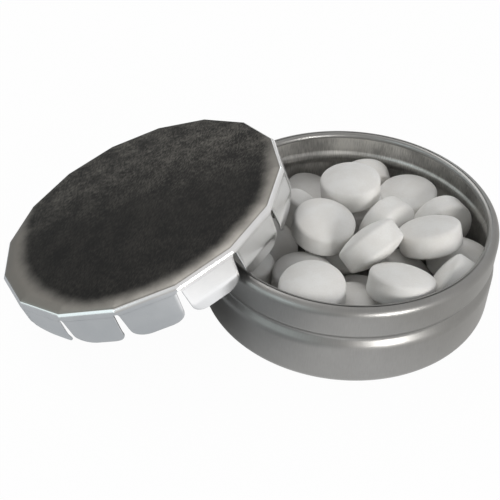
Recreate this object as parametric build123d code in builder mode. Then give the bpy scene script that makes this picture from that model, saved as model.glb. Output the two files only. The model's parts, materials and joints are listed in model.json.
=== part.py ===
"""A small round mint tin, with its click lid taken off and leaning on the rim.

Millimetres. +Z is up and the origin is the centre of the tin's flat bottom. The lid is one stamped
sheet on the real tin: it is drawn here as the pieces that it flexes between, a domed press panel,
the rim with its short collar, and the tabs of the slotted skirt.
"""
from build123d import *
from math import asin, atan2, cos, degrees, radians, sin
import os

# Tin: a drawn sheet with a stepped wall, a latch groove and a rim rolled inwards
tin_radius = 24.0
tin_height = 15.0
tin_sheet = 0.3
corner_bevel = 1.3
shoulder_height = 8.2
groove_height = 9.6
groove_depth = 0.6
groove_rise = 0.8
band_inset = 0.3
rim_width = 1.95
rim_drop = 0.95
rim_bevel = 0.35

# Lid: a many-sided sheet, folded down at its edge and slotted at each corner
lid_corner_radius = 24.5
lid_sides = 16
lid_sheet = 0.3
fold_bevel = 0.45
collar_depth = 1.2
ledge_width = 1.9
ledge_rise = 0.25
panel_gap = 0.05
dome_height = 0.8
tab_gap = 0.05
tab_depth = 6.7
tab_corner = 2.2
curl_radius = 1.6
curl_turn = 55.0
slot_width = 0.8
mouth_width = 1.8

# The press panel's crown: rings as shares of its radius and of its height
panel_ring_shares = ((1.0, 0.0), (0.72, 0.55), (0.4, 1.0))

# How the lid lies: its low tabs stand on the table and its skirt rests across the rim. The overlap
# is how far it reaches over the tin, and lean_drop how far its tips dip below the rim's top there
lid_overlap = 14.77
lid_aside = 1.11
ground_gap = 0.135
lean_drop = 0.674
lean_rounds = 12
lid_roll = -1.99
lid_turn = 65.3

# Mints: round bands with a bevelled crown on each face
mint_radius = 5.0
mint_band = 3.4
mint_crown = 0.95
crown_share = 0.5
mint_sides = 24

# The tin that the heap is drawn for: in a smaller one the whole heap is smaller
heap_radius = 24.0
heap_height = 15.0

overrun = 5.0

# Each mint's centre as shares of the heap's radius and radius, and of its height over the tin's
# floor, then how far its face leans from level and which way it leans, in degrees
mint_place_shares = {
    "mint_01": (-0.20, 0.73, 0.23, 19, -20),
    "mint_02": (0.20, 0.75, 0.42, 77, 98),
    "mint_03": (0.04, 0.30, 0.90, 5, 170),
    "mint_04": (-0.17, -0.06, 0.80, 9, -40),
    "mint_05": (-0.31, 0.39, 0.35, 88, 44),
    "mint_06": (0.49, 0.46, 0.54, 5, 188),
    "mint_07": (0.69, 0.19, 0.50, 89, -69),
    "mint_08": (0.53, -0.16, 0.79, 24, 122),
    "mint_09": (0.28, 0.07, 0.63, 87, 129),
    "mint_10": (0.12, -0.31, 0.87, 56, 134),
    "mint_11": (0.27, -0.65, 0.81, 22, 65),
    "mint_12": (-0.28, -0.69, 0.79, 7, -118),
    "mint_13": (0.62, -0.51, 0.60, 68, 152),
    "mint_14": (0.76, -0.13, 0.42, 11, 50),
    "mint_15": (-0.31, -0.38, 0.49, 4, -10),
    "mint_16": (-0.07, -0.03, 0.31, 38, 86),
    "mint_17": (-0.01, -0.68, 0.48, 7, -105),
    "mint_18": (-0.71, -0.25, 0.48, 10, 48),
    "mint_19": (0.41, -0.20, 0.28, 32, 15),
    "mint_20": (-0.53, 0.14, 0.26, 28, -27),
    "mint_21": (0.08, 0.34, 0.54, 6, 174),
    "mint_22": (0.19, 0.36, 0.18, 0, 0),
    "mint_23": (-0.57, -0.51, 0.18, 0, 0),
    "mint_24": (0.05, -0.39, 0.18, 0, 0),
    "mint_25": (0.59, 0.49, 0.18, 0, 0),
}

os.makedirs("parts", exist_ok=True)

band_radius = tin_radius - band_inset
rim_radius = band_radius - rim_width


def wall(inset):
    """The tin's wall from its flat bottom up to the upper band, at one depth inside its skin."""
    return [
        (0, inset),
        (tin_radius - corner_bevel - inset / 2, inset),
        (tin_radius - inset, corner_bevel + inset / 2),
        (tin_radius - inset, shoulder_height),
        (band_radius - groove_depth - inset, groove_height),
        (band_radius - inset, groove_height + groove_rise),
    ]


rim_section = [
    (band_radius, tin_height - rim_bevel),
    (band_radius - rim_bevel, tin_height),
    (rim_radius + rim_bevel, tin_height),
    (rim_radius, tin_height - rim_bevel),
    (rim_radius, tin_height - rim_drop),
    (rim_radius + tin_sheet, tin_height - rim_drop),
    (rim_radius + tin_sheet, tin_height - tin_sheet),
    (band_radius - tin_sheet, tin_height - tin_sheet),
]

with BuildPart() as tin_base:
    with BuildSketch(Plane.XZ):
        with BuildLine():
            Polyline(*wall(0), *rim_section, *reversed(wall(tin_sheet)), close=True)
        make_face()
    revolve(axis=Axis.Z)
tin_base.part.label = "tin_base"
export_step(tin_base.part, "parts/tin_base.step")


half_side = radians(180 / lid_sides)
lid_flat = lid_corner_radius * cos(half_side)
side_length = 2 * lid_corner_radius * sin(half_side)
ledge_flat = lid_flat - ledge_width
tip_flat = lid_flat - curl_radius * (1 - cos(radians(curl_turn)))

# Seen from above, the skirt crosses the rim this far from the lid's middle, towards the tin
lid_reach = tin_radius + lid_corner_radius - lid_overlap
crossing = (lid_reach**2 + lid_flat**2 - band_radius**2) / (2 * lid_reach)

# The tips stand on the table at the low side and on the rim at the crossing, which gives the tilt
tilt = 0
for _ in range(lean_rounds):
    tilt = asin((tin_height - lean_drop) / (tip_flat + crossing / cos(tilt)))
lid_lift = tip_flat * sin(tilt) + tab_depth * cos(tilt) + ground_gap

# The lid's plane: its origin is the middle of the folded edge and its Z is the normal of the face
level_plane = Plane(
    origin=(-lid_reach, lid_aside, lid_lift),
    x_dir=(cos(tilt), 0, sin(tilt)),
    z_dir=(-sin(tilt), 0, cos(tilt)),
)


def turned(plane, angle, roll=0):
    """The same plane, rolled about its own X and then turned about its own normal."""
    return Plane(plane.location * Location((0, 0, 0), (roll, 0, 0)) * Location((0, 0, 0), (0, 0, angle)))


lid_plane = turned(level_plane, lid_turn, lid_roll)

rim_skin = [
    (-collar_depth, lid_flat),
    (-fold_bevel, lid_flat),
    (0, lid_flat - fold_bevel),
    (ledge_rise, ledge_flat),
]
rim_lining = [
    (-collar_depth, lid_flat - lid_sheet),
    (-fold_bevel, lid_flat - lid_sheet),
    (-lid_sheet, lid_flat - fold_bevel),
    (ledge_rise - lid_sheet, ledge_flat),
]

with BuildPart() as lid_rim:
    for height, flat in rim_skin:
        with BuildSketch(lid_plane.offset(height)):
            RegularPolygon(flat, lid_sides, major_radius=False)
    loft(ruled=True)
    for height, flat in rim_lining:
        with BuildSketch(lid_plane.offset(height)):
            RegularPolygon(flat, lid_sides, major_radius=False)
    loft(ruled=True, mode=Mode.SUBTRACT)
    with BuildSketch(lid_plane.offset(ledge_rise - lid_sheet)):
        RegularPolygon(ledge_flat, lid_sides, major_radius=False)
    extrude(amount=lid_sheet, mode=Mode.SUBTRACT)
lid_rim.part.label = "lid_rim"
export_step(lid_rim.part, "parts/lid_rim.step")

panel_flat = ledge_flat - panel_gap
panel_steps = list(zip(panel_ring_shares, panel_ring_shares[1:]))

with BuildPart() as lid_panel:
    with BuildSketch(lid_plane.offset(ledge_rise - lid_sheet)):
        RegularPolygon(panel_flat, lid_sides, major_radius=False)
    extrude(amount=lid_sheet)
    for base, mode in ((ledge_rise, Mode.ADD), (ledge_rise - lid_sheet, Mode.SUBTRACT)):
        for (outer, foot), (inner, crest) in panel_steps:
            step = (crest - foot) * dome_height
            slope = atan2((outer - inner) * panel_flat, step)
            with BuildSketch(lid_plane.offset(base + foot * dome_height)):
                RegularPolygon(panel_flat * outer, lid_sides, major_radius=False)
            extrude(amount=step, taper=degrees(slope), mode=mode)
lid_panel.part.label = "lid_panel"
export_step(lid_panel.part, "parts/lid_panel.step")


tab_root = collar_depth + tab_gap
curl_start = tab_depth - curl_radius * sin(radians(curl_turn))
curl_middle = (lid_flat - curl_radius, -curl_start)


def make_tab(name, side):
    """One tab of the skirt: a flat strip under a side of the lid, curled inwards at its end."""
    section_plane = Plane(origin=side.origin, x_dir=side.x_dir, z_dir=-side.y_dir)
    outline_plane = Plane(origin=side.origin, x_dir=side.y_dir, z_dir=side.x_dir)
    with BuildPart() as tab:
        with BuildSketch(section_plane):
            with BuildLine():
                skin = Line((lid_flat, -tab_root), (lid_flat, -curl_start))
                outside = CenterArc(curl_middle, curl_radius, 0, -curl_turn)
                inside = CenterArc(curl_middle, curl_radius - lid_sheet, 0, -curl_turn)
                Line(outside @ 1, inside @ 1)
                lining = Line(inside @ 0, (lid_flat - lid_sheet, -tab_root))
                Line(lining @ 1, skin @ 0)
            make_face()
        extrude(amount=side_length / 2, both=True)
        with BuildSketch(outline_plane) as outline:
            root = (side_length - slot_width) / 2
            mouth = (side_length - mouth_width) / 2
            with BuildLine():
                Polyline(
                    (-root, -tab_root),
                    (root, -tab_root),
                    (mouth, -tab_depth),
                    (-mouth, -tab_depth),
                    close=True,
                )
            make_face()
            fillet(outline.vertices().group_by(Axis.Y)[0], tab_corner)
        extrude(amount=lid_flat + overrun, mode=Mode.INTERSECT)
    tab.part.label = name
    export_step(tab.part, f"parts/{name}.step")


for number in range(lid_sides):
    make_tab(f"lid_tab_{number + 1:02d}", turned(lid_plane, (number + 0.5) * 360 / lid_sides))


heap_scale = min(tin_radius / heap_radius, tin_height / heap_height)


def make_mint(name, shares):
    """One mint, a many-sided band with a bevelled crown on each face, at its place in the heap."""
    radius, band, crown = (size * heap_scale for size in (mint_radius, mint_band, mint_crown))
    across, away, height, lean, heading = shares
    lean = radians(lean)
    heading = radians(heading)
    middle = Vector(across * heap_radius, away * heap_radius, height * heap_height) * heap_scale
    middle += Vector(0, 0, tin_sheet)
    axis = Vector(sin(lean) * cos(heading), sin(lean) * sin(heading), cos(lean))
    with BuildPart() as mint:
        with BuildSketch(Plane(origin=middle, z_dir=axis)):
            RegularPolygon(radius, mint_sides)
        extrude(amount=band / 2 + crown, both=True)
        flats = mint.faces().sort_by(Axis(middle, axis))
        for flat in (flats[0], flats[-1]):
            width = radius * (1 - crown_share)
            chamfer(flat.edges(), length=width, length2=crown, reference=flat)
    mint.part.label = name
    export_step(mint.part, f"parts/{name}.step")


for mint_name, mint_shares in mint_place_shares.items():
    make_mint(mint_name, mint_shares)
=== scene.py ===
"""Dresses a small round mint tin: the drawn tin, its leaning click lid and the heap of mints."""
import json
from math import atan2, cos, pi, radians, sin, sqrt, tan

import bmesh
import bpy
import numpy as np
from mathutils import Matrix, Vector, noise


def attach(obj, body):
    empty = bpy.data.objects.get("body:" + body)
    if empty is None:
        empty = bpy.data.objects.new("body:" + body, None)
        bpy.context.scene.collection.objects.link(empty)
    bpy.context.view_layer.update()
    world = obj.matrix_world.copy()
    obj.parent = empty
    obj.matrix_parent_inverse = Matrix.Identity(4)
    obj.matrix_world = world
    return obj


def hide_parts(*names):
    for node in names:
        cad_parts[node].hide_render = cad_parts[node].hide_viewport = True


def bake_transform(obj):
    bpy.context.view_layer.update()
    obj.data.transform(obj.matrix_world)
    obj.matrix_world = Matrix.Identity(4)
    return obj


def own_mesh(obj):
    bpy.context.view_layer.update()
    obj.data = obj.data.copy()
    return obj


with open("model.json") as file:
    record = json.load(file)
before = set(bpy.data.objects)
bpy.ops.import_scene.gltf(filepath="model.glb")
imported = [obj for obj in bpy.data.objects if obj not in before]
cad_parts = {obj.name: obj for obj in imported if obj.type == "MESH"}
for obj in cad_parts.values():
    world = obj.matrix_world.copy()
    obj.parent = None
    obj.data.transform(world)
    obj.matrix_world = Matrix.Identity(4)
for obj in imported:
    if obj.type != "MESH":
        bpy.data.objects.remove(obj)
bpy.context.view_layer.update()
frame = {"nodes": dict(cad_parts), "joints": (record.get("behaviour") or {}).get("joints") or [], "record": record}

bl_info = {
    "name": "Mint Tin",
    "version": (1, 0, 0),
    "blender": (4, 5, 0),
    "location": "3D View > Sidebar > Mint Tin",
    "description": "Builds the looks of a round mint tin with a click lid",
    "category": "Object",
}

MM = 0.001
JOINTS = {joint["name"]: joint for joint in frame["joints"]}
PRESS = JOINTS["panel_press"]
TABS = sorted(name for name in frame["nodes"] if name.startswith("lid_tab_"))
MINTS = sorted(name for name in frame["nodes"] if name.startswith("mint_"))
BODY_OF = {
    node: body
    for body, nodes in frame["record"]["behaviour"]["bodies"].items()
    for node in nodes
}

# The camera as fitted to the photograph: the focal length is in pixels of a picture this wide, and
# the camera looks down by this angle in radians
PICTURE_PIXELS = 500
FOCAL_PIXELS = 833.05
SENSOR_WIDTH = 36.0
CAMERA_PLACE = (-15.84 * MM, -105.39 * MM, 96.73 * MM)
CAMERA_BELOW_LEVEL = 0.7103
NEAREST_SEEN = 5 * MM

# The studio: a floor this far to each side, and each lamp's name, place and aim in metres, power in
# watts, width and colour
FLOOR_HALF = 0.9
WHITE = (1.0, 1.0, 1.0)
LAMPS = (
    ("key", (-0.16, 0.20, 0.31), (0, 0, 0), 0.40, 0.28, (1.0, 0.99, 0.975)),
    ("right", (0.180, -0.352, 0.105), (0, 0, 0), 0.84, 0.155, (1.0, 0.985, 0.96)),
    ("left", (-0.28, -0.24, 0.24), (-0.02, 0, 0), 0.07, 0.14, (0.80, 0.95, 1.0)),
    ("back", (0.21, 0.47, 0.28), (0, 0, 0.01), 0.16, 0.08, (0.84, 0.97, 1.0)),
)

# Steps of the meshes' arcs and rows
TIN_ARC_STEPS = 9
FOLD_ARC_STEPS = 7
MINT_DOME_STEPS = 13
MINT_EDGE_STEPS = 6
SIDE_STEPS = 8
PANEL_RINGS = 30
TAB_ROWS = 5
TAB_CORNER_ROWS = 12
TAB_HALF_STEPS = 8


# Sizes and colours


def length(name, description, size):
    """A size in millimetres as a length property."""
    return bpy.props.FloatProperty(
        name=name, description=description, default=size * MM, unit="LENGTH", precision=5
    )


def count(name, description, value):
    """A number of steps as a property."""
    return bpy.props.IntProperty(name=name, description=description, default=value)


def colour(name, description, value):
    """A colour property."""
    return bpy.props.FloatVectorProperty(
        name=name, description=description, default=value, size=3, subtype="COLOR", min=0, max=1
    )


class MINTTIN_PG_tin(bpy.types.PropertyGroup):
    """Sizes of the tin."""

    radius: length("Radius", "Outside radius of the tin's wall", 24.0)
    height: length("Height", "Height of the rolled rim", 15.0)
    sheet: length("Sheet", "Thickness of the sheet", 0.3)
    corner: length("Corner", "Radius of the bottom corner", 1.5)
    shoulder: length("Shoulder", "Height where the wall steps in", 7.7)
    groove: length("Groove", "Height of the latch groove's middle", 9.25)
    groove_depth: length("Groove depth", "How far the groove goes in from the upper band", 0.62)
    groove_top: length("Groove top", "Height where the groove meets the upper band", 10.15)
    shoulder_roll: length("Shoulder roll", "Radius where the wall turns into the groove", 2.2)
    groove_roll: length("Groove roll", "Radius of the latch groove's middle", 0.9)
    band_inset: length("Band inset", "How far the upper band stands in from the wall", 0.3)
    rim_width: length("Rim width", "Width of the rolled rim", 1.95)
    rim_drop: length("Rim drop", "How far the roll turns down inside", 0.95)
    bead: length("Bead", "Radius of the rim's outer roll", 1.2)
    segments: count("Segments", "Steps round the tin", 256)


class MINTTIN_PG_lid(bpy.types.PropertyGroup):
    """Sizes of the lid."""

    sheet: length("Sheet", "Thickness of the sheet", 0.3)
    fold: length("Fold", "Radius of the folded edge", 0.95)
    collar: length("Collar", "Depth of the skirt above its slots", 1.2)
    ledge: length("Ledge", "Width of the rim outside the press panel", 1.9)
    ledge_rise: length("Ledge rise", "Height of the ledge's inner edge over the fold", 0.25)
    rise: length("Rise", "Height of the domed panel over the ledge", 0.8)
    depth: length("Depth", "Depth of the skirt's tabs", 6.7)
    corner: length("Corner", "Radius of a tab's lower corners", 2.2)
    bend: length("Bend", "Radius where a tab's end turns in", 3.0)
    bend_turn: bpy.props.FloatProperty(
        name="Bend turn", description="How far a tab's end turns in", default=radians(17), unit="ROTATION"
    )
    bend_depth: length("Bend depth", "Depth where a tab's end starts to turn in", 3.9)
    slot: length("Slot", "Width of a slot at its round end", 0.8)
    mouth: length("Mouth", "Width of a slot at its open end", 1.8)


class MINTTIN_PG_mint(bpy.types.PropertyGroup):
    """Sizes of the mints."""

    radius: length("Radius", "Radius of a mint", 5.0)
    band: length("Band", "Height of a mint's straight band", 3.4)
    crown: length("Crown", "Height of the dome on each face", 1.25)
    edge: length("Edge", "Radius of the edge between band and dome", 0.75)
    wobble: length("Wobble", "How far the pressed shape strays", 0.035)
    segments: count("Segments", "Steps round a mint", 72)


class MINTTIN_PG_colours(bpy.types.PropertyGroup):
    """Colours of the finishes."""

    tin: colour("Tin", "Satin metal of the tin", (0.315, 0.312, 0.305))
    tin_shade: colour("Tin shade", "Drawn streaks in the tin", (0.28, 0.277, 0.27))
    # Painted light: the inside is a much lighter, less metallic copy of the tin's metal, which brightens the
    # hollow
    inside: colour("Inside", "Satin metal inside the tin", (0.76, 0.747, 0.715))
    lid: colour("Lid", "Satin metal of the skirt", (0.96, 0.96, 0.965))
    lid_shade: colour("Lid shade", "Streaks in the skirt", (0.90, 0.905, 0.915))
    # The face colours below are a painted dark reflection on the lid's middle, with the real brushed grain in it
    # and lighter in the far half; the margin colour is where it fades out
    face: colour("Face", "Dark brushed middle of the lid", (0.010, 0.010, 0.010))
    face_grain: colour("Face grain", "Light streaks in the dark middle", (0.036, 0.034, 0.031))
    face_far_painted_sheen: colour("Far face grain", "Light streaks in its far half", (0.158, 0.151, 0.136))
    margin: colour("Margin", "Lighter margin round the dark middle", (0.29, 0.277, 0.255))
    mint: colour("Mint", "Pressed mint", (0.85, 0.845, 0.825))
    mint_shade: colour("Mint shade", "Mottling of a mint", (0.79, 0.775, 0.745))
    floor: colour("Floor", "Floor and backdrop", (0.9, 0.9, 0.9))


class MINTTIN_PG_all(bpy.types.PropertyGroup):
    """Everything that a user can set."""

    tin: bpy.props.PointerProperty(type=MINTTIN_PG_tin)
    lid: bpy.props.PointerProperty(type=MINTTIN_PG_lid)
    mint: bpy.props.PointerProperty(type=MINTTIN_PG_mint)
    colours: bpy.props.PointerProperty(type=MINTTIN_PG_colours)


def chosen():
    """The sizes and colours that are set on the scene."""
    return bpy.context.scene.mint_tin


# Shader sums


class Value:
    """A socket of a material, so that its maths reads like plain sums."""

    def __init__(self, finish, socket):
        self.finish = finish
        self.socket = socket

    def sum(self, operation, first, second):
        """A Math node on two values or numbers."""
        return self.finish.node("ShaderNodeMath", {"operation": operation}, first, second)

    def __add__(self, other):
        return self.sum("ADD", self, other)

    __radd__ = __add__

    def __sub__(self, other):
        return self.sum("SUBTRACT", self, other)

    def __rsub__(self, other):
        return self.sum("SUBTRACT", other, self)

    def __mul__(self, other):
        return self.sum("MULTIPLY", self, other)

    __rmul__ = __mul__

    def __pow__(self, other):
        return self.sum("POWER", self, other)

    def __rpow__(self, other):
        return self.sum("POWER", other, self)

    def most(self, other):
        """The larger of this and another value."""
        return self.sum("MAXIMUM", self, other)

    def between(self, low, high):
        """0 below low, 1 above high and a smooth step from one to the other."""
        settings = {"interpolation_type": "SMOOTHSTEP"}
        return self.finish.node("ShaderNodeMapRange", settings, self, low, high, 0.0, 1.0)


class Finish:
    """The node tree of one material or world."""

    def __init__(self, owner):
        self.owner = owner
        self.owner.use_nodes = True
        self.tree = self.owner.node_tree
        self.tree.nodes.clear()

    def node(self, kind, settings, *inputs, out=None, **named):
        """Adds a node: its settings first, then its sockets, in order or by name."""
        node = self.tree.nodes.new(kind)
        for key, value in settings.items():
            setattr(node, key, value)
        sockets = [socket for socket in node.inputs if socket.enabled]
        pairs = list(zip(sockets, inputs))
        pairs += [(node.inputs[key.replace("_", " ")], value) for key, value in named.items()]
        for socket, value in pairs:
            if isinstance(value, Value):
                self.tree.links.new(value.socket, socket)
            else:
                socket.default_value = value
        live = [socket for socket in node.outputs if socket.enabled and out in (None, socket.name)]
        return Value(self, live[0]) if live else None

    def mix(self, share, first, second):
        """A blend of two colours."""
        return self.node("ShaderNodeMix", {"data_type": "RGBA"}, share, opaque(first), opaque(second))

    def where(self):
        """The place on the piece, in metres."""
        return self.node("ShaderNodeTexCoord", {}, out="Object")

    def from_point(self, point):
        """The place on the piece, measured from a point."""
        settings = {"operation": "SUBTRACT"}
        return self.node("ShaderNodeVectorMath", settings, self.where(), tuple(point))

    def along(self, place, direction):
        """How far a place lies along a direction."""
        settings = {"operation": "DOT_PRODUCT"}
        return self.node("ShaderNodeVectorMath", settings, place, tuple(direction))

    def parts(self, place, *names):
        """The named parts, X, Y or Z, of a place or direction."""
        return [self.node("ShaderNodeSeparateXYZ", {}, place, out=name) for name in names]

    def rays(self, *names):
        """For each kind of ray named, 1 for a ray of that kind and 0 for others."""
        return [self.node("ShaderNodeLightPath", {}, out=f"Is {name} Ray") for name in names]

    def noise(self, place, scale, detail, roughness=0.55):
        return self.node("ShaderNodeTexNoise", {}, place, scale, detail, roughness)

    def grain(self, across, along, **look):
        """Noise stretched over a sheet, from how far across and along it a place is."""
        return self.noise(self.node("ShaderNodeCombineXYZ", {}, across, along, 0.0), **look)

    def bump(self, height, strength, distance):
        return self.node("ShaderNodeBump", {}, Height=height, Strength=strength, Distance=distance)

    def principled(self, **sockets):
        """Finishes the material with one Principled shader."""
        return self.surface(self.node("ShaderNodeBsdfPrincipled", {}, **sockets))

    def surface(self, shader):
        """Links a shader to the output."""
        kind = "World" if isinstance(self.owner, bpy.types.World) else "Material"
        self.node("ShaderNodeOutput" + kind, {}, Surface=shader)
        return self.owner


def new_finish(name):
    """An empty material by that name."""
    return Finish(bpy.data.materials.new(name))


def opaque(value):
    """A colour as red, green, blue and alpha, and a socket as it is."""
    return value if isinstance(value, Value) else (*value[:3], 1.0)


# Finishes


def satin_tin(name, light, shade, metallic):
    """Drawn satin sheet: fine upright streaks, faint clouding and a soft sheen."""
    finish = new_finish(name)
    place = finish.where()
    x, y, height = finish.parts(place, "X", "Y", "Z")
    turn = y.sum("ARCTAN2", y, x)
    streak = finish.grain(turn * 60.0, height * 260.0, scale=2.4, detail=4.0)
    cloud = finish.noise(place, scale=190.0, detail=3.0)
    speck = finish.noise(place, scale=5200.0, detail=2.0)
    share = (streak * 0.45 + cloud * 0.55).between(0.3, 0.7)
    rough = 0.29 + cloud * 0.08 + speck * 0.05
    bump = finish.bump(speck * 0.75 + streak * 0.25, strength=0.08, distance=0.02 * MM)
    base = finish.mix(share, shade, light)
    return finish.principled(Base_Color=base, Metallic=metallic, Roughness=rough, Normal=bump)


def satin_lid(colours):
    """The skirt's bright satin sheet."""
    finish = new_finish("satin_lid")
    place = finish.where()
    cloud = finish.noise(place, scale=260.0, detail=3.0)
    speck = finish.noise(place, scale=6000.0, detail=2.0)
    share = (cloud * 0.7 + speck * 0.3).between(0.3, 0.7)
    rough = 0.16 + cloud * 0.08 + speck * 0.04
    bump = finish.bump(speck * 0.4 + cloud * 0.6, strength=0.1, distance=0.03 * MM)
    base = finish.mix(share, colours.lid_shade, colours.lid)
    return finish.principled(Base_Color=base, Metallic=1.0, Roughness=rough, Normal=bump)


def face_painted_reflection(colours, lid):
    """The lid's face: a painted dark reflection in the middle, over the real brushed grain and lighter in its far
    half, that fades into a lighter margin.
    """
    finish = new_finish("face_painted_reflection")
    place = finish.from_point(lid.centre)
    right = finish.along(place, lid.right)
    away = finish.along(place, lid.away)

    slant = radians(20)
    across = right * cos(slant) - away * sin(slant)
    along = right * sin(slant) + away * cos(slant)
    fuzz = finish.grain(across * 4400.0, along * 1200.0, scale=1.0, detail=5.0, roughness=0.7)
    patch = finish.noise(place, scale=300.0, detail=5.0, roughness=0.6)
    grain = (fuzz * 0.7 + patch * 0.3).between(0.42, 0.66)
    # Painted reflection: the middle is painted dark, with the real brushed grain in it, and a painted sheen makes
    # the grain lighter in its far half
    far = away.between(-6 * MM, 16 * MM)
    dark = finish.mix(grain, colours.face, finish.mix(far, colours.face_grain, colours.face_far_painted_sheen))

    # The painted dark reflection fades into the margin, which is wider at the near left, and narrower at the far
    # side
    margin_start = 20.6 * MM
    margin_end = 24.3 * MM
    margin_stray = 1.6 * MM
    near_left = radians(25)
    left = 0 - right * cos(near_left) - away * sin(near_left)
    reach = (right * right + away * away) ** 0.5
    reach = reach + (left - 14 * MM).most(0.0) * 0.3
    reach = reach - (away - 1 * MM).most(0.0) * 0.22
    edge = (reach + (patch - 0.5) * margin_stray).between(margin_start, margin_end)

    base = finish.mix(edge, dark, colours.margin)
    rough = 0.52 - edge * 0.2 + fuzz * 0.08
    bump = finish.bump(fuzz, strength=0.25, distance=0.03 * MM)
    return finish.principled(Base_Color=base, Metallic=0.85, Roughness=rough, Normal=bump)


def pressed_mint(colours):
    """Pressed sugar: matt, faintly mottled and fine grained."""
    finish = new_finish("pressed_mint")
    place = finish.where()
    cloud = finish.noise(place, scale=320.0, detail=4.0)
    speck = finish.noise(place, scale=4200.0, detail=3.0)
    share = (cloud * 0.7 + speck * 0.3).between(0.35, 0.65)
    rough = 0.62 + cloud * 0.15
    bump = finish.bump(speck * 0.5 + cloud * 0.5, strength=0.35, distance=0.06 * MM)
    base = finish.mix(share, colours.mint_shade, colours.mint)
    return finish.principled(Base_Color=base, Roughness=rough, Normal=bump)


def studio_floor(colours):
    """A floor that the camera sees as white; in what metal reflects of it, painted shade darkens the left and a
    painted shadow lies under the lid.
    """
    finish = new_finish("studio_floor")
    camera, glossy, clear = finish.rays("Camera", "Glossy", "Transmission")
    side, ahead = finish.parts(finish.where(), "X", "Y")
    # Painted shadow and shade, seen in reflections only: dark under the lid, darker to the left and a little
    # darker far to the right
    painted_lid_shadow = side.between(-34 * MM, -28 * MM) * ahead.between(-25 * MM, -11 * MM)
    left = finish.mix(painted_lid_shadow, (0.405, 0.422, 0.435), (0.07, 0.07, 0.07))
    right = finish.mix(side.between(4 * MM, 24 * MM), WHITE, (0.70, 0.69, 0.67))
    mirrored = finish.mix(side.between(-27 * MM, -4 * MM), left, right)
    tint = finish.mix(glossy, WHITE, mirrored)
    bright = finish.node("ShaderNodeEmission", {}, Color=tint, Strength=1.0)
    plain = finish.node("ShaderNodeBsdfDiffuse", {}, Color=opaque(colours.floor))
    seen = (camera * 0.97).most((clear * 0.95).most(glossy))
    return finish.surface(finish.node("ShaderNodeMixShader", {}, seen, plain, bright))


def studio_world():
    """A room that is darker low down and to the left, with a cool window in its reflections only."""
    finish = Finish(bpy.data.worlds.new("studio"))
    camera, clear, glossy = finish.rays("Camera", "Transmission", "Glossy")
    ray = finish.node("ShaderNodeTexCoord", {}, out="Generated")
    aside, north, height = finish.parts(ray, "X", "Y", "Z")

    spread = (height * 0.5 + aside + north * 0.35).between(-0.9, 1.3)
    dull = finish.mix(spread, (0.03, 0.028, 0.024), (0.66, 0.66, 0.67))
    level = (height + aside * 0.5).between(-0.6, 0.9)
    mirrored = finish.mix(level, (0.24, 0.23, 0.215), (0.69, 0.68, 0.67))
    grey = finish.mix(glossy, dull, mirrored)

    window = (0 - aside).between(0.25, 0.6) * height.between(-0.02, 0.08)
    window = window * (1 - height.between(0.5, 0.7)) * (1 - north.between(0.3, 0.6)) * glossy
    tint = finish.mix(window, grey, (0.90, 1.0, 1.0))

    room = finish.node("ShaderNodeBackground", {}, Color=tint, Strength=1.0)
    white = finish.node("ShaderNodeBackground", {}, Color=opaque(WHITE), Strength=1.0)
    return finish.surface(finish.node("ShaderNodeMixShader", {}, camera.most(clear), room, white))


# Mesh helpers


def make_mesh(name, points, faces):
    """A mesh from points in metres."""
    mesh = bpy.data.meshes.new(name)
    mesh.from_pydata([tuple(point) for point in points], [], faces)
    return mesh


def make_piece(name, points, faces, material, sharp):
    """An object from points in metres, shaded smooth up to an angle in degrees."""
    mesh = make_mesh(name, points, faces)
    mesh.validate()
    mesh.update()
    return finish_piece(name, mesh, material, sharp)


def finish_piece(name, mesh, material, sharp):
    """Links a mesh as an object, shaded smooth up to an angle in degrees."""
    form = bmesh.new()
    form.from_mesh(mesh)
    bmesh.ops.recalc_face_normals(form, faces=form.faces)
    form.to_mesh(mesh)
    form.free()
    mesh.shade_smooth()
    mesh.set_sharp_from_angle(angle=radians(sharp))
    mesh.materials.append(material)
    piece = bpy.data.objects.new(name, mesh)
    bpy.context.scene.collection.objects.link(piece)
    return piece


def weld(piece):
    """Joins the points that meet on the piece's axis."""
    form = bmesh.new()
    form.from_mesh(piece.data)
    bmesh.ops.remove_doubles(form, verts=form.verts, dist=1e-7)
    bmesh.ops.recalc_face_normals(form, faces=form.faces)
    form.to_mesh(piece.data)
    form.free()


def even_shading(piece):
    """Lets broad faces keep flat shading next to narrow rounded ones."""
    modifier = piece.modifiers.new("even_shading", "WEIGHTED_NORMAL")
    modifier.keep_sharp = True
    modifier.weight = 100


def turned(arm, angle):
    """A flat vector turned by an angle."""
    return Vector((
        arm.x * cos(angle) - arm.y * sin(angle),
        arm.x * sin(angle) + arm.y * cos(angle),
    ))


def rounded(corners, steps):
    """A path through corners (x, y, radius), each rounded by an arc where its radius isn't 0."""
    path = []
    for k, (x, y, radius) in enumerate(corners):
        here = Vector((x, y))
        if radius == 0:
            path.append(here)
            continue
        back = (Vector(corners[k - 1][:2]) - here).normalized()
        on = (Vector(corners[k + 1][:2]) - here).normalized()
        half = back.angle(on) / 2
        cut = radius * cos(half) / sin(half)
        centre = here + (back + on).normalized() * (radius / sin(half))
        start = here + back * cut - centre
        end = here + on * cut - centre
        turn = start.angle_signed(end)
        path += [centre + turned(start, -turn * step / steps) for step in range(steps + 1)]
    return path


def offset_path(path, distance):
    """A path beside another, to its left where distance is positive."""
    least_share = 0.5
    result = []
    for k, here in enumerate(path):
        before = path[max(k - 1, 0)]
        after = path[min(k + 1, len(path) - 1)]
        first = (here - before).normalized() if k else (after - here).normalized()
        second = (after - here).normalized() if k < len(path) - 1 else first
        middle = (first + second).normalized()
        share = max(middle.dot(first), least_share)
        result.append(here + Vector((-middle.y, middle.x)) * (distance / share))
    return result


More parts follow.
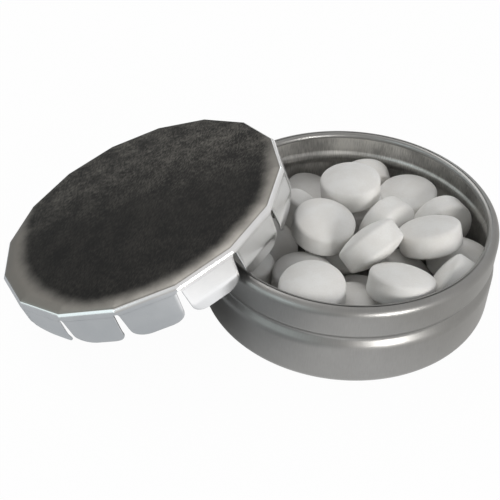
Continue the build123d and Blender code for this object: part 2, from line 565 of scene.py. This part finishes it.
def ring_faces(size, total, closed=True):
    """Faces from each section of so many points to the next, for all the sections round a ring."""
    faces = []
    for k in range(total):
        here = k * size
        there = (k + 1) % total * size
        for j in range(size if closed else size - 1):
            n = (j + 1) % size
            faces.append((here + j, here + n, there + n, there + j))
    return faces


# Where the lid lies


class Lid:
    """The lid's own directions, its width and its sides, read from its joints."""

    def __init__(self):
        self.sizes = chosen().lid
        self.centre = Vector(PRESS["pos_m"])
        self.up = -Vector(PRESS["axis"]).normalized()
        self.right = (Vector((1, 0, 0)) - self.up * self.up.x).normalized()
        self.away = self.up.cross(self.right)
        root = Vector(self.hinge_of(TABS[0])["pos_m"]) - self.centre
        out, _ = self.side_of(TABS[0])
        self.flat = root.dot(out) + self.sizes.sheet / 2
        self.side = self.flat * tan(pi / len(TABS))

    def hinge_of(self, tab):
        """The joint that a tab turns on."""
        return JOINTS["flare_" + tab[-2:]]

    def side_of(self, tab):
        """The outward and sideways directions of the side that a tab hangs from."""
        out = self.up.cross(Vector(self.hinge_of(tab)["axis"])).normalized()
        return out, self.up.cross(out)

    def at(self, out, aside, flat, along, height):
        """A point out from the middle, along a side and over the fold."""
        return self.centre + out * flat + aside * along + self.up * height

    def places(self):
        """Places along one side, closer together by its corners, without the next side's first one."""
        slot = self.sizes.slot / 2
        ends = [self.side - slot * share for share in (0.0, 0.38, 0.71, 0.92, 1.0)]
        half = ends + [ends[-1] * (1 - k / SIDE_STEPS) for k in range(1, SIDE_STEPS)]
        return [-place for place in half] + [0.0] + half[:0:-1]


# Operators


class MINTTIN_OT_stage(bpy.types.Operator):
    """Adds the camera, the floor and the lights"""

    bl_idname = "minttin.stage"
    bl_label = "Stage"

    def execute(self, context):
        scene = context.scene
        scene.view_settings.view_transform = "Standard"
        self.add_camera(scene)
        corners = [(x * FLOOR_HALF, y * FLOOR_HALF, 0) for x, y in ((-1, -1), (1, -1), (1, 1), (-1, 1))]
        floor = make_piece("floor", corners, [(0, 1, 2, 3)], studio_floor(chosen().colours), 35.0)
        for lamp in LAMPS:
            self.add_lamp(scene, *lamp)
        scene.world = studio_world()
        return {"FINISHED"}

    def add_camera(self, scene):
        """The camera that the photograph was taken with."""
        camera = bpy.data.cameras.new("camera")
        camera.sensor_width = SENSOR_WIDTH
        camera.lens = SENSOR_WIDTH * FOCAL_PIXELS / PICTURE_PIXELS
        camera.clip_start = NEAREST_SEEN
        holder = bpy.data.objects.new("camera", camera)
        holder.location = CAMERA_PLACE
        holder.rotation_euler = (pi / 2 - CAMERA_BELOW_LEVEL, 0, 0)
        scene.collection.objects.link(holder)
        scene.camera = holder

    def add_lamp(self, scene, name, place, aim, power, width, tint):
        """One round area lamp."""
        light = bpy.data.lights.new(name, "AREA")
        light.shape = "DISK"
        light.energy = power
        light.size = width
        light.color = tint
        lamp = bpy.data.objects.new(name, light)
        lamp.location = place
        lamp.rotation_euler = (Vector(aim) - Vector(place)).to_track_quat("-Z", "Y").to_euler()
        scene.collection.objects.link(lamp)


class MINTTIN_OT_tin(bpy.types.Operator):
    """Builds the drawn tin with its stepped wall, latch groove and rolled rim"""

    bl_idname = "minttin.tin"
    bl_label = "Tin"

    def execute(self, context):
        tin = chosen().tin
        colours = chosen().colours
        outline = self.section(tin)
        points = []
        for k in range(tin.segments):
            angle = 2 * pi * k / tin.segments
            points += [(place.x * cos(angle), place.x * sin(angle), place.y) for place in outline]
        faces = ring_faces(len(outline), tin.segments)
        skin = satin_tin("satin_tin", colours.tin, colours.tin_shade, 0.85)
        # Painted light: the lining is a lighter, less metallic copy of the tin's metal that brightens the inside
        # of the tin
        lining = satin_tin("satin_inside_painted_light", colours.inside, colours.tin, 0.6)
        piece = make_piece("tin_shell", points, faces, skin, 50.0)
        weld(piece)
        piece.data.materials.append(lining)
        for polygon in piece.data.polygons:
            inward = Vector(polygon.center[:2]).dot(polygon.normal[:2])
            under_rim = polygon.center.z < tin.height - tin.rim_drop
            inside = inward < 0 or polygon.center.xy.length < tin.radius - tin.sheet / 2 - tin.corner
            polygon.material_index = 1 if under_rim and inside else 0
        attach(piece, BODY_OF["tin_base"])
        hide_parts("tin_base")
        return {"FINISHED"}

    def section(self, tin):
        """The sheet's closed section, from the middle of the bottom to the end of the roll and back."""
        half = tin.sheet / 2
        wall = tin.radius - half
        band = tin.radius - tin.band_inset - half
        inner = tin.radius - tin.band_inset - tin.rim_width + half
        top = tin.height - half
        path = rounded([
            (0, half, 0),
            (wall, half, tin.corner),
            (wall, tin.shoulder, tin.shoulder_roll),
            (band - tin.groove_depth, tin.groove, tin.groove_roll),
            (band, tin.groove_top, tin.groove_roll),
            (band, top, tin.bead),
            (inner, top - tin.sheet / 3, tin.bead / 2),
            (inner, tin.height - tin.rim_drop, 0),
        ], TIN_ARC_STEPS)
        return offset_path(path, -half) + offset_path(path, half)[::-1]


class MINTTIN_OT_mints(bpy.types.Operator):
    """Builds each mint of the heap, domed on both faces"""

    bl_idname = "minttin.mints"
    bl_label = "Mints"

    def execute(self, context):
        mint = chosen().mint
        profile = self.profile(mint)
        material = pressed_mint(chosen().colours)
        for seed, node in enumerate(MINTS):
            self.make_mint(node, seed, profile, mint, material)
        return {"FINISHED"}

    def profile(self, mint):
        """A mint's edge as (radius, height), from the middle of one face to that of the other."""
        ball = (mint.radius ** 2 + mint.crown ** 2) / (2 * mint.crown)
        foot = mint.band / 2 + mint.crown - ball
        inner = mint.radius - mint.edge
        rise = sqrt((ball - mint.edge) ** 2 - inner ** 2)
        meet = inner * ball / (ball - mint.edge)
        steep = atan2(rise, inner)
        profile = []
        for k in range(MINT_DOME_STEPS + 1):
            radius = meet * sin(pi / 2 * k / MINT_DOME_STEPS)
            profile.append((radius, foot + sqrt(ball ** 2 - radius ** 2)))
        for k in range(1, MINT_EDGE_STEPS + 1):
            angle = steep * (1 - k / MINT_EDGE_STEPS)
            profile.append((inner + mint.edge * cos(angle), foot + rise + mint.edge * sin(angle)))
        profile.append((mint.radius, mint.band / 6))
        return profile + [(radius, -height) for radius, height in reversed(profile)]

    def make_mint(self, node, seed, profile, mint, material):
        """One mint on its solid's place and axis: the way in which the solid is thinnest."""
        corners = np.array([tuple(corner.co) for corner in frame["nodes"][node].data.vertices])
        middle = (corners.min(axis=0) + corners.max(axis=0)) / 2
        spread = (corners - middle).T @ (corners - middle)
        axis = Vector(np.linalg.eigh(spread)[1][:, 0])
        if axis.z < 0:
            axis = -axis
        lean = axis.to_track_quat("Z", "X").to_matrix()
        middle = Vector(middle)
        strays_per_metre = 260
        own_place = Vector((seed * 7.3, seed * 1.7, 0))
        points = []
        for k in range(mint.segments):
            angle = 2 * pi * k / mint.segments
            for radius, height in profile:
                local = Vector((radius * cos(angle), radius * sin(angle), height))
                stray = noise.noise(local * strays_per_metre + own_place) * mint.wobble
                points.append(middle + lean @ (local * (1 + stray / mint.radius)))
        faces = ring_faces(len(profile), mint.segments, closed=False)
        piece = make_piece("sweet_" + node[-2:], points, faces, material, 60.0)
        weld(piece)
        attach(piece, BODY_OF[node])
        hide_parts(node)


class MINTTIN_OT_lid(bpy.types.Operator):
    """Builds the lid's domed face and its folded rim"""

    bl_idname = "minttin.lid"
    bl_label = "Lid"

    def execute(self, context):
        lid = Lid()
        face = face_painted_reflection(chosen().colours, lid)
        metal = satin_lid(chosen().colours)
        self.make_rim(lid, face, metal)
        self.make_panel(lid, face)
        return {"FINISHED"}

    def make_rim(self, lid, face, metal):
        """The ledge, the fold and the short collar, notched over each slot."""
        sizes = lid.sizes
        path = rounded([
            (lid.flat - sizes.ledge, sizes.ledge_rise, 0),
            (lid.flat, 0, sizes.fold),
            (lid.flat, -sizes.collar, 0),
        ], FOLD_ARC_STEPS)
        section = path + offset_path(path, -sizes.sheet)[::-1]
        lower_edge = (len(path) - 1, len(path))
        slot = sizes.slot / 2
        places = lid.places()
        points = []
        for node in TABS:
            out, aside = lid.side_of(node)
            for place in places:
                gap = lid.side - abs(place)
                notch = sqrt(max(slot ** 2 - gap ** 2, 0)) if gap < slot else 0
                for k, (flat, height) in enumerate(section):
                    if k in lower_edge:
                        height = -sizes.collar + notch
                    points.append(lid.at(out, aside, flat, place * flat / lid.flat, height))
        faces = ring_faces(len(section), len(TABS) * len(places))
        piece = make_piece("lid_edge", points, faces, face, 40.0)
        piece.data.materials.append(metal)
        turned_up = 0.9
        for polygon in piece.data.polygons:
            polygon.material_index = 0 if lid.up.dot(polygon.normal) > turned_up else 1
        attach(piece, BODY_OF["lid_rim"])
        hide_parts("lid_rim")

    def make_panel(self, lid, face):
        """The domed press panel, one sheet with its lining, many-sided at its edge and round inside."""
        sizes = lid.sizes
        ledge = lid.flat - sizes.ledge
        places = lid.places()
        points = []
        for drop in (0.0, sizes.sheet):
            for ring in range(PANEL_RINGS + 1):
                share = 1 - ring / PANEL_RINGS
                height = sizes.ledge_rise + sizes.rise * (1 - share ** 2) - drop
                straight = share ** 3
                for node in TABS:
                    out, aside = lid.side_of(node)
                    for place in places:
                        slope = place / lid.flat
                        blend = straight + (1 - straight) / sqrt(1 + slope ** 2)
                        flat = ledge * share * blend
                        points.append(lid.at(out, aside, flat, flat * slope, height))
        total = len(TABS) * len(places)
        layer = (PANEL_RINGS + 1) * total
        faces = []
        for base, lining in ((0, False), (layer, True)):
            for ring in range(PANEL_RINGS):
                for k in range(total):
                    first = base + ring * total + k
                    second = base + ring * total + (k + 1) % total
                    quad = (first, second, second + total, first + total)
                    faces.append((quad[0], *quad[:0:-1]) if lining else quad)
        faces += [(k, layer + k, layer + (k + 1) % total, (k + 1) % total) for k in range(total)]
        piece = make_piece("lid_dome", points, faces, face, 60.0)
        weld(piece)
        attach(piece, BODY_OF["lid_rim"])
        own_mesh(piece)
        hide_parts("lid_panel")


class MINTTIN_OT_tabs(bpy.types.Operator):
    """Builds the skirt's tabs, each hanging from the collar with its end turned in"""

    bl_idname = "minttin.tabs"
    bl_label = "Tabs"

    def execute(self, context):
        lid = Lid()
        metal = bpy.data.materials["satin_lid"]
        for node in TABS:
            self.make_tab(lid, node, metal)
        return {"FINISHED"}

    def make_tab(self, lid, node, metal):
        """One tab: a tapered strip with round lower corners and a curled end."""
        sizes = lid.sizes
        out, aside = lid.side_of(node)
        straight = sizes.bend_depth - sizes.collar
        rows, total = self.rows(sizes, straight)
        root = lid.side - sizes.slot / 2
        mouth = lid.side - sizes.mouth / 2
        shares = [k / TAB_HALF_STEPS - 1 for k in range(2 * TAB_HALF_STEPS + 1)]
        points = []
        for drop in (0.0, sizes.sheet):
            for run in rows:
                flat, height = self.bend(lid, run, straight, drop)
                half_width = root + (mouth - root) * run / total
                beyond = run - (total - sizes.corner)
                if beyond > 0:
                    half_width -= sizes.corner - sqrt(max(sizes.corner ** 2 - beyond ** 2, 0))
                points += [lid.at(out, aside, flat, half_width * share, height) for share in shares]

        wide = len(shares)
        layer = len(rows) * wide
        last = layer - wide
        faces = []
        for base in (0, layer):
            for row in range(base, base + last, wide):
                faces += [(k, k + 1, k + 1 + wide, k + wide) for k in range(row, row + wide - 1)]
        rim = list(range(0, layer, wide))
        rim += list(range(last + 1, layer))
        rim += list(range(last - 1, 0, -wide))
        border = rim + list(range(wide - 2, 0, -1))
        faces += [(a, b, layer + b, layer + a) for a, b in zip(border, border[1:] + border[:1])]

        mesh = make_mesh("skirt_" + node[-2:], points, faces)
        pairs = list(zip(rim, rim[1:]))
        self.soften(mesh, pairs + [(layer + a, layer + b) for a, b in pairs], sizes.sheet / 5)
        piece = finish_piece("skirt_" + node[-2:], mesh, metal, 50.0)
        even_shading(piece)
        start = lid.at(out, aside, lid.flat, 0, -sizes.collar)
        end = lid.at(out, aside, lid.flat, 0, -sizes.collar * 2)
        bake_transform(piece)
        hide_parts(node)

    def rows(self, sizes, straight):
        """A tab's rows as runs from its root, the first one up inside the collar, and its whole run."""
        turn = sizes.bend_turn
        arc = sizes.bend * turn
        total = straight + arc + (sizes.depth - sizes.bend_depth - sizes.bend * sin(turn)) / cos(turn)
        corner_start = total - sizes.corner
        rows = [-sizes.sheet / 6]
        rows += [straight * k / TAB_ROWS for k in range(1, TAB_ROWS)]
        rows += [straight + arc * k / TAB_ROWS for k in range(TAB_ROWS + 1)]
        rows = [row for row in rows if row < corner_start - sizes.sheet / 2]
        for k in range(TAB_CORNER_ROWS + 1):
            rows.append(total - sizes.corner * (1 - sin(pi / 2 * k / TAB_CORNER_ROWS)))
        return rows, total

    def bend(self, lid, run, straight, drop):
        """How far out and how high a tab's sheet is after a run from its root."""
        sizes = lid.sizes
        if run <= straight:
            return lid.flat - drop, -sizes.collar - run
        turn = sizes.bend_turn
        angle = min((run - straight) / sizes.bend, turn)
        reach = sizes.bend - drop
        on = max(run - straight - sizes.bend * turn, 0)
        flat = lid.flat - sizes.bend + reach * cos(angle) - on * sin(turn)
        return flat, -sizes.bend_depth - reach * sin(angle) - on * cos(turn)

    def soften(self, mesh, pairs, width):
        """Rounds the edges between pairs of points."""
        form = bmesh.new()
        form.from_mesh(mesh)
        bmesh.ops.recalc_face_normals(form, faces=form.faces)
        form.verts.ensure_lookup_table()
        edges = [form.edges.get((form.verts[a], form.verts[b])) for a, b in pairs]
        bmesh.ops.bevel(form, geom=edges, offset=width, segments=2, profile=0.5, affect="EDGES")
        form.to_mesh(mesh)
        form.free()


class MINTTIN_PT_panel(bpy.types.Panel):
    """Lists the sizes, the colours and the steps"""

    bl_label = "Mint Tin"
    bl_idname = "MINTTIN_PT_panel"
    bl_space_type = "VIEW_3D"
    bl_region_type = "UI"
    bl_category = "Mint Tin"

    def draw(self, context):
        for group in ("tin", "lid", "mint", "colours"):
            box = self.layout.box()
            owner = getattr(context.scene.mint_tin, group)
            for key in owner.__annotations__:
                box.prop(owner, key)
        for operator in OPERATORS:
            self.layout.operator(operator.bl_idname)


OPERATORS = (MINTTIN_OT_stage, MINTTIN_OT_tin, MINTTIN_OT_mints, MINTTIN_OT_lid, MINTTIN_OT_tabs)
GROUPS = (MINTTIN_PG_tin, MINTTIN_PG_lid, MINTTIN_PG_mint, MINTTIN_PG_colours, MINTTIN_PG_all)
CLASSES = GROUPS + OPERATORS + (MINTTIN_PT_panel,)


def register():
    for item in CLASSES:
        bpy.utils.register_class(item)
    bpy.types.Scene.mint_tin = bpy.props.PointerProperty(type=MINTTIN_PG_all)


def unregister():
    del bpy.types.Scene.mint_tin
    for item in reversed(CLASSES):
        bpy.utils.unregister_class(item)


def main():
    register()
    bpy.ops.minttin.stage()
    bpy.ops.minttin.tin()
    bpy.ops.minttin.mints()
    bpy.ops.minttin.lid()
    bpy.ops.minttin.tabs()


if __name__ == "__main__":
    main()
